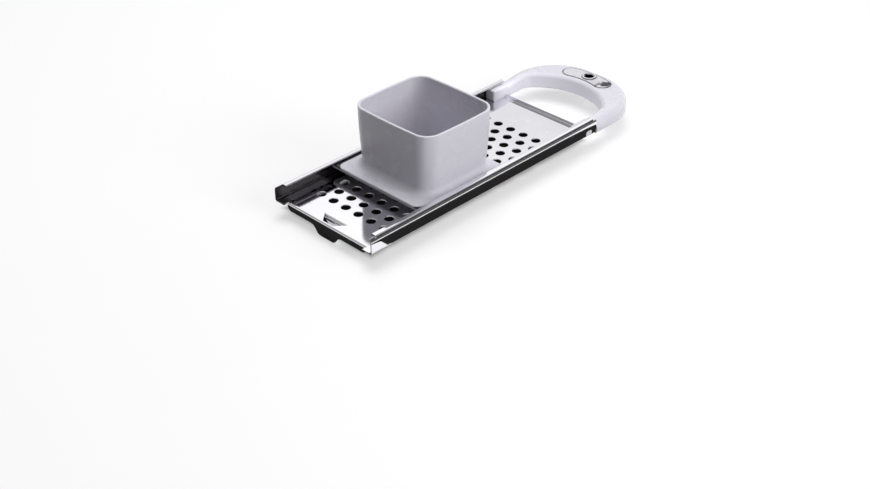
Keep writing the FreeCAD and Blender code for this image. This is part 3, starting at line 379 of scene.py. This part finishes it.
WHITE_COLOUR = (0.79, 0.775, 0.85, 1.0)
WORN_COLOUR = (0.77, 0.755, 0.83, 1.0)
FLOW_SCALE = 24.0
FLOW_DETAIL = 4.0
FLOW_ROUGHNESS = 0.55
FLOW_STRETCH = 0.4
PEEL_SCALE = 900.0
PEEL_DETAIL = 2.0
PEEL_BUMP = 0.06
PLASTIC_ROUGHNESS = 0.27
PLASTIC_IOR = 1.49
PLASTIC_ROUND = 0.0006
# Painted shade on the flange's top in the gap beside the lips.
GAP_SHADE_COLOUR = (0.035, 0.032, 0.032, 1.0)
GAP_ENDS = (-0.0728, 0.0400)
GAP_HALF = 0.0452
GAP_CORNER = 0.0075
GAP_EDGE = 0.0004
GAP_LEVELS = (0.0098, 0.0112)


def make_flange_gap_shade():
    """The rims of the flange's top beside the lips, darkened by painted shade: a mask."""
    tree, entry, leave = new_group("flange_gap_shade", [], [("Mask", "NodeSocketFloat")])
    x, y, z = split(tree, object_place(tree))
    low, high = GAP_ENDS
    offset = math_node(tree, "SUBTRACT", x, (low + high) / 2)
    beyond = []
    for value, half in ((offset, (high - low) / 2), (y, GAP_HALF)):
        reach = math_node(tree, "SUBTRACT", math_node(tree, "ABSOLUTE", value),
                          half - GAP_CORNER)
        positive = math_node(tree, "MAXIMUM", reach, 0.0)
        beyond.append(math_node(tree, "MULTIPLY", positive, positive))
    distance = math_node(tree, "SQRT", math_node(tree, "ADD", *beyond))
    rim = ramp(tree, distance, GAP_CORNER - GAP_EDGE, GAP_CORNER + GAP_EDGE)
    on_top = math_node(tree, "MULTIPLY", math_node(tree, "GREATER_THAN", z, GAP_LEVELS[0]),
                       math_node(tree, "LESS_THAN", z, GAP_LEVELS[1]))
    inside = math_node(tree, "LESS_THAN", x, high + GAP_EDGE)
    tree.links.new(math_node(tree, "MULTIPLY", rim, math_node(tree, "MULTIPLY", on_top, inside)),
                   leave.inputs["Mask"])
    return tree


FLANGE_GAP_SHADE = make_flange_gap_shade()


def make_white_plastic(name, has_edges, has_gap_shade):
    """Glossy white moulded plastic with an orange peel, faint flow marks and smudges. Where it
    has edges, they are soft, and where it has the gap, painted shade darkens the hopper's
    flange beside the lips."""
    material, tree, shader = new_material(name)
    place = object_place(tree)
    flow = noise_at(tree, stretched(tree, place, 1.0, 1.0, FLOW_STRETCH), FLOW_SCALE, FLOW_DETAIL,
                    FLOW_ROUGHNESS)
    colour = mix_colours(tree, flow, WHITE_COLOUR, WORN_COLOUR)
    if has_gap_shade:
        # Painted shade darkens the flange's top in the gap beside the lips.
        colour = mix_colours(tree, place_group(tree, FLANGE_GAP_SHADE).outputs["Mask"], colour, GAP_SHADE_COLOUR)
    tree.links.new(colour, shader.inputs["Base Color"])
    marks = place_group(tree, SMUDGES, Scale=45.0, Amount=0.015)
    tree.links.new(math_node(tree, "ADD", marks.outputs["Mask"], PLASTIC_ROUGHNESS),
                   shader.inputs["Roughness"])
    shader.inputs["IOR"].default_value = PLASTIC_IOR
    normal = soft_edge(tree, PLASTIC_ROUND, EDGE_SAMPLES) if has_edges else None
    add_bump(tree, shader, noise_at(tree, place, PEEL_SCALE, PEEL_DETAIL), PEEL_BUMP,
             BUMP_DISTANCE, normal)
    return material


hopper = dress("hopper", make_white_plastic("white_plastic_hopper", True, True))
dress("handle", make_white_plastic("white_plastic", True, False))


# ---------------------------------------------------------------- cove of the hopper
# The hopper's walls run out into its flange in a wide soft hollow. It is widest in front,
# and narrow behind, where the flange is short.

FLANGE_LEVEL = 0.0110
COVE_FRONT = 0.0060
COVE_SIDE = 0.0050
COVE_REAR = 0.0022
COVE_ROUND_COUNT = 300
COVE_STEPS = 12
COVE_SHARP = math.radians(40.0)
COVE_SINK = 0.0006
COVE_OVERLAP = 0.00002
PLAIN_WALL = (0.0136, 0.0156)
HOPPER_REACH = 0.2


def box_of(name):
    """Lowest and highest corner of a CAD node."""
    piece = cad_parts[name]
    corners = [piece.matrix_world @ Vector(corner) for corner in piece.bound_box]
    return (Vector([min(parts) for parts in zip(*corners)]),
            Vector([max(parts) for parts in zip(*corners)]))


def wall_distance(surface, centre, turn, level):
    """How far the hopper's wall stands from its middle in one direction, at a level."""
    outward = Vector((math.cos(turn), math.sin(turn), 0.0))
    middle = Vector((centre.x, centre.y, level))
    hit = surface.ray_cast(middle + outward * HOPPER_REACH, -outward)[0]
    return (hit - middle).length


def wall_point(centre, turn, low, high, level):
    """The wall's point at a level, on the straight line through two measured distances."""
    share = (level - PLAIN_WALL[0]) / (PLAIN_WALL[1] - PLAIN_WALL[0])
    reach = low + (high - low) * share
    return Vector((centre.x + reach * math.cos(turn), centre.y + reach * math.sin(turn), level))


def outward_at(points, number):
    """The level direction that points away from a closed outline."""
    along = points[(number + 1) % len(points)] - points[number - 1]
    return Vector((along.y, -along.x, 0.0)).normalized()


def cove_radius(outward):
    """The hollow's radius, by the way that the wall faces."""
    end = COVE_FRONT if outward.x < 0 else COVE_REAR
    return COVE_SIDE + (end - COVE_SIDE) * outward.x ** 2


def make_cove():
    """A closed ring on the flange, with a hollow quarter round against the walls."""
    low, high = box_of("hopper")
    centre = hopper.matrix_world.inverted() @ ((low + high) / 2)
    surface = BVHTree.FromObject(hopper, bpy.context.evaluated_depsgraph_get())
    turns = [math.tau * number / COVE_ROUND_COUNT for number in range(COVE_ROUND_COUNT)]
    walls = [[wall_distance(surface, centre, turn, level) for level in PLAIN_WALL]
             for turn in turns]
    base = [wall_point(centre, turn, *wall, FLANGE_LEVEL) for turn, wall in zip(turns, walls)]
    vertices = []
    for number, (turn, wall) in enumerate(zip(turns, walls)):
        outward = outward_at(base, number)
        radius = cove_radius(outward)
        for step in range(COVE_STEPS + 1):
            angle = math.pi / 2 * step / COVE_STEPS
            level = FLANGE_LEVEL + radius * (1 - math.sin(angle))
            vertices.append(wall_point(centre, turn, *wall, level)
                            + outward * (radius * (1 - math.cos(angle)) + COVE_OVERLAP)
                            + Vector((0.0, 0.0, COVE_OVERLAP)))
        vertices.append(base[number] - outward * COVE_SINK - Vector((0.0, 0.0, COVE_SINK)))
    row = COVE_STEPS + 2
    faces = []
    for number in range(COVE_ROUND_COUNT):
        here = number * row
        there = (number + 1) % COVE_ROUND_COUNT * row
        for step in range(row):
            after = (step + 1) % row
            faces.append((here + step, here + after, there + after, there + step))
    mesh = bpy.data.meshes.new("hopper_cove")
    mesh.from_pydata(vertices, [], faces)
    mesh.shade_smooth()
    mesh.set_sharp_from_angle(angle=COVE_SHARP)
    cove = bpy.data.objects.new("hopper_cove", mesh)
    bpy.context.scene.collection.objects.link(cove)
    cove.matrix_world = hopper.matrix_world
    mesh.materials.append(make_white_plastic("white_plastic_cove", False, True))
    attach(cove, "sliding_hopper")


make_cove()


# ---------------------------------------------------------------- inlay and eyelet
# A bright steel plate is let into the bow, and a rolled steel eyelet holds it down and
# takes a hook.

INLAY_COLOUR = (0.86, 0.85, 0.90, 1.0)
TARNISH_COLOUR = (0.45, 0.44, 0.46, 1.0)
INLAY_ROUGHNESS = 0.08
INLAY_WAVE_SCALE = 110.0
INLAY_WAVE_DETAIL = 1.0
INLAY_BUMP = 0.12
INLAY_BUMP_DISTANCE = 0.0006
INLAY_SAMPLES = 8
PLATE_ROUND = 0.0020
RING_ROUND = 0.0009
GROOVE_START = 0.985
GROOVE_END = 0.95
# Near black, for the dark patches and for the painted shade along the edges.
DARK_PATCH_AND_SHADE_COLOUR = (0.07, 0.065, 0.08, 1.0)
PATCH_START = 0.0125
PATCH_END = 0.0165
PATCH_STRETCH = 1.5
PATCH_SCALE = 75.0
PATCH_DETAIL = 1.0
PATCH_LEVELS = (0.50, 0.56)
# Painted shade inside the eyelet's bore.
BORE_SHADE_COLOUR = (0.03, 0.03, 0.03, 1.0)
BORE_REACH = 0.0044
BORE_TOP = 0.0128


def dark_end_patches(tree):
    """1 in mottled dark patches at the near end of the plate."""
    place = object_place(tree)
    x, y, z = split(tree, place)
    patches = noise_at(tree, stretched(tree, place, 1.0, PATCH_STRETCH, 1.0), PATCH_SCALE, PATCH_DETAIL)
    towards = ramp(tree, y, -PATCH_START, -PATCH_END, kind="LINEAR")
    return math_node(tree, "MULTIPLY", towards, ramp(tree, patches, *PATCH_LEVELS, kind="LINEAR"))


def bore_shade(tree):
    """1 inside the eyelet's bore, where painted shade makes the steel dark."""
    low, high = box_of("hanging_eyelet")
    centre = (low + high) / 2
    x, y, z = split(tree, object_place(tree))
    squares = [math_node(tree, "POWER", math_node(tree, "SUBTRACT", value, middle), 2.0)
               for value, middle in ((x, centre.x), (y, centre.y))]
    reach = math_node(tree, "SQRT", math_node(tree, "ADD", *squares))
    return math_node(tree, "MULTIPLY", math_node(tree, "LESS_THAN", reach, BORE_REACH),
                     math_node(tree, "LESS_THAN", z, BORE_TOP))


def edge_painted_shade(tree, rounded):
    """1 along the outer edges, where painted shade lies as in a groove beside the plate."""
    facing = vector_node(tree, "DOT_PRODUCT", rounded,
                         node(tree, "ShaderNodeNewGeometry").outputs["True Normal"])
    return ramp(tree, facing.outputs["Value"], GROOVE_START, GROOVE_END, kind="LINEAR")


def make_inlay_steel(name, dark_colour, dark_part, edge_round):
    """Bright stamped steel, slightly wavy, with tarnish in soft patches, one dark part and painted
    shade along its edges.
    """
    material, tree, shader = new_material(name)
    shader.inputs["Metallic"].default_value = 1.0
    rounded = soft_edge(tree, edge_round, INLAY_SAMPLES)
    tarnish = place_group(tree, SMUDGES, Scale=60.0, Amount=0.5)
    colour = mix_colours(tree, tarnish.outputs["Mask"], INLAY_COLOUR, TARNISH_COLOUR)
    colour = mix_colours(tree, dark_part(tree), colour, dark_colour)
    # Painted shade darkens the outer edges.
    colour = mix_colours(tree, edge_painted_shade(tree, rounded), colour, DARK_PATCH_AND_SHADE_COLOUR)
    tree.links.new(colour, shader.inputs["Base Color"])
    marks = place_group(tree, SMUDGES, Scale=90.0, Amount=0.10)
    tree.links.new(math_node(tree, "ADD", marks.outputs["Mask"], INLAY_ROUGHNESS),
                   shader.inputs["Roughness"])
    wave = noise_at(tree, object_place(tree), INLAY_WAVE_SCALE, INLAY_WAVE_DETAIL)
    add_bump(tree, shader, wave, INLAY_BUMP, INLAY_BUMP_DISTANCE, rounded)
    return material


dress("handle_inlay", make_inlay_steel("inlay_steel", DARK_PATCH_AND_SHADE_COLOUR, dark_end_patches, PLATE_ROUND))
# The eyelet's bore is painted dark as shade.
dress("hanging_eyelet", make_inlay_steel("eyelet_steel", BORE_SHADE_COLOUR, bore_shade, RING_ROUND))


# ---------------------------------------------------------------- floor
# A plain pale floor just under the tongue. Away from the object it shows as white. Under
# the tray a near-black patch is painted as its deep shade.

FLOOR_DROP = 0.0002
FLOOR_HALF = 10.0
FLOOR_COLOUR = (0.55, 0.55, 0.56, 1.0)
FLOOR_ROUGHNESS = 0.9
FLOOR_SPECULAR = 0.1
FLOOR_LIFT = 0.52
LIFT_COLOUR = (1.0, 1.0, 1.0, 1.0)
SHADE_COLOUR = (0.012, 0.011, 0.010, 1.0)
SHADE_EDGE = 0.012
SHADE_SHIFT = Vector((0.006, 0.008, 0.0))
STRAIGHT_DEPTH = 0.5


def plane(name, low_x, high_x, low_y, high_y, level):
    """A flat rectangle at one level."""
    mesh = bpy.data.meshes.new(name)
    corners = [(low_x, low_y, level), (high_x, low_y, level),
               (high_x, high_y, level), (low_x, high_y, level)]
    mesh.from_pydata(corners, [], [(0, 1, 2, 3)])
    made = bpy.data.objects.new(name, mesh)
    bpy.context.scene.collection.objects.link(made)
    return made


def beyond_box(tree, low, high):
    """How far a point lies past a box, seen from above."""
    x, y, z = split(tree, object_place(tree))
    beyond = []
    for number, value in enumerate((x, y)):
        middle = (low[number] + high[number]) / 2
        half = (high[number] - low[number]) / 2
        offset = math_node(tree, "SUBTRACT", value, middle)
        beyond.append(math_node(tree, "SUBTRACT", math_node(tree, "ABSOLUTE", offset), half))
    return math_node(tree, "MAXIMUM", *beyond)


def seen_directly(tree):
    """1 for rays that the camera or a mirror sends straight on, 0 for light that is spread."""
    path = node(tree, "ShaderNodeLightPath")
    seen = math_node(tree, "MAXIMUM", path.outputs["Is Camera Ray"], path.outputs["Is Glossy Ray"])
    seen = math_node(tree, "MAXIMUM", seen, path.outputs["Is Transmission Ray"])
    straight = math_node(tree, "LESS_THAN", path.outputs["Diffuse Depth"], STRAIGHT_DEPTH)
    return math_node(tree, "MULTIPLY", seen, straight)


def make_floor():
    """The floor, with the deep shade under the tray as a dark patch."""
    floor = plane("floor", -FLOOR_HALF, FLOOR_HALF, -FLOOR_HALF, FLOOR_HALF,
                  CAD_LOW.z - FLOOR_DROP)
    material, tree, shader = new_material("floor_pale")
    shader.inputs["Roughness"].default_value = FLOOR_ROUGHNESS
    shader.inputs["Specular IOR Level"].default_value = FLOOR_SPECULAR
    shader.inputs["Emission Color"].default_value = LIFT_COLOUR
    tray_low, tray_high = box_of("perforated_tray")
    outside = ramp(tree, beyond_box(tree, tray_low + SHADE_SHIFT, tray_high + SHADE_SHIFT),
                   -SHADE_EDGE, 0.0)
    tree.links.new(mix_colours(tree, outside, SHADE_COLOUR, FLOOR_COLOUR),
                   shader.inputs["Base Color"])
    lift = math_node(tree, "MULTIPLY", outside, FLOOR_LIFT)
    tree.links.new(math_node(tree, "MULTIPLY", seen_directly(tree), lift),
                   shader.inputs["Emission Strength"])
    floor.data.materials.append(material)


make_floor()


# ---------------------------------------------------------------- room and lamps
# The room is a white sweep that rises behind the object. Its ceiling is grey, and its right
# side is dark above the horizon. The lamps are soft, and a small one lights the bow's inside.

SWEEP_TURN = math.radians(45.0)
SWEEP_TOP = 0.72
SWEEP_EDGE = 0.10
SWEEP_LEVEL = 1.06
SWEEP_HIGH_LEVEL = 1.42
SWEEP_RISE = (0.475, 0.535)
CEILING = 0.42
SIDES_TOP = 0.22
SIDES_EDGE = 0.12
SIDE_START = 0.35
SIDE_END = 0.70
RIGHT_LEVEL = 0.06
LEFT_LEVEL = 0.35
MATT_ENDS = (-0.7, 0.8)
DIFFUSE_DIM = 0.01
DIFFUSE_BRIGHT = 0.33
ZENITH_START = 0.45
ZENITH_END = 0.95
ZENITH_LEVEL = 0.45


def make_room():
    """What the steel mirrors, and a weaker, one-sided light for everything matt."""
    world = bpy.data.worlds.new("studio_room")
    bpy.context.scene.world = world
    world.use_nodes = True
    tree = world.node_tree
    tree.nodes.clear()
    output = node(tree, "ShaderNodeOutputWorld")
    background = node(tree, "ShaderNodeBackground")
    tree.links.new(background.outputs["Background"], output.inputs["Surface"])
    x, y, height = split(tree, node(tree, "ShaderNodeTexCoord").outputs["Generated"])
    rightward = math_node(tree, "ADD", math_node(tree, "MULTIPLY", x, math.cos(SWEEP_TURN)),
                          math_node(tree, "MULTIPLY", y, -math.sin(SWEEP_TURN)))
    sweep = math_node(tree, "MULTIPLY",
                      ramp(tree, height, *SWEEP_RISE, SWEEP_LEVEL, SWEEP_HIGH_LEVEL),
                      ramp(tree, height, SWEEP_TOP, SWEEP_TOP + SWEEP_EDGE, 1.0, CEILING))
    high = ramp(tree, height, SIDES_TOP, SIDES_TOP + SIDES_EDGE)
    right_dark = math_node(tree, "MULTIPLY", high,
                           ramp(tree, rightward, SIDE_START, SIDE_END))
    left_dark = math_node(tree, "MULTIPLY", high,
                          ramp(tree, rightward, -SIDE_END, -SIDE_START, 1.0, 0.0))
    mirrored = math_node(tree, "MULTIPLY", sweep,
                         ramp(tree, right_dark, 0.0, 1.0, 1.0, RIGHT_LEVEL))
    mirrored = math_node(tree, "MULTIPLY", mirrored,
                         ramp(tree, left_dark, 0.0, 1.0, 1.0, LEFT_LEVEL))
    matt = math_node(tree, "ADD", ramp(tree, x, *MATT_ENDS, DIFFUSE_DIM, DIFFUSE_BRIGHT),
                     ramp(tree, height, ZENITH_START, ZENITH_END, 0.0, ZENITH_LEVEL))
    choice = node(tree, "ShaderNodeMix")
    tree.links.new(seen_directly(tree), choice.inputs["Factor"])
    tree.links.new(matt, choice.inputs["A"])
    tree.links.new(mirrored, choice.inputs["B"])
    tree.links.new(choice.outputs["Result"], background.inputs["Strength"])


make_room()

RIGHT_PLACE = Vector((0.20, -1.15, 0.50))
RIGHT_TARGET = Vector((0.0, 0.0, 0.02))
RIGHT_SIZE = (0.9, 0.6)
RIGHT_POWER = 8.0
ABOVE_PLACE = Vector((0.25, 0.30, 1.25))
ABOVE_TARGET = Vector((0.0, 0.0, 0.0))
ABOVE_SIZE = (0.9, 0.9)
ABOVE_POWER = 9.0
BOW_PLACE = Vector((0.113, 0.0, 0.022))
BOW_TARGET = Vector((0.171, 0.0, 0.002))
BOW_SIZE = (0.07, 0.01)
BOW_POWER = 0.012


def soft_light(name, place, target, size, power):
    """A rectangular lamp at a place, turned to a target. Only its light is seen."""
    data = bpy.data.lights.new(name, "AREA")
    data.shape = "RECTANGLE"
    data.size, data.size_y = size
    data.energy = power
    lamp = bpy.data.objects.new(name, data)
    bpy.context.scene.collection.objects.link(lamp)
    lamp.location = place
    lamp.rotation_euler = (target - place).to_track_quat("-Z", "Y").to_euler()
    lamp.visible_glossy = False
    lamp.visible_camera = False


soft_light("lamp_right", RIGHT_PLACE, RIGHT_TARGET, RIGHT_SIZE, RIGHT_POWER)
soft_light("lamp_above", ABOVE_PLACE, ABOVE_TARGET, ABOVE_SIZE, ABOVE_POWER)
soft_light("lamp_bow", BOW_PLACE, BOW_TARGET, BOW_SIZE, BOW_POWER)


# ---------------------------------------------------------------- flags
# Black cards lie on the floor around the polished steel. Only reflections show them.

FLAG_LIFT = 0.0001
FLAG_COLOUR = (0.012, 0.011, 0.010, 1.0)
FLAG_NEAR = (-0.098, 0.16, -0.24, -0.0545)
FLAG_FRONT = (-0.34, -0.1253, -0.075, 0.14)


def make_flag(name, ends):
    """A black card, from its low and high ends along X and along Y."""
    flag = plane(name, *ends, CAD_LOW.z + FLAG_LIFT)
    material, tree, shader = new_material(name + "_black")
    shader.inputs["Base Color"].default_value = FLAG_COLOUR
    shader.inputs["Roughness"].default_value = 1.0
    flag.data.materials.append(material)
    flag.visible_camera = False
    flag.visible_diffuse = False
    flag.visible_shadow = False


make_flag("flag_near", FLAG_NEAR)
make_flag("flag_front", FLAG_FRONT)
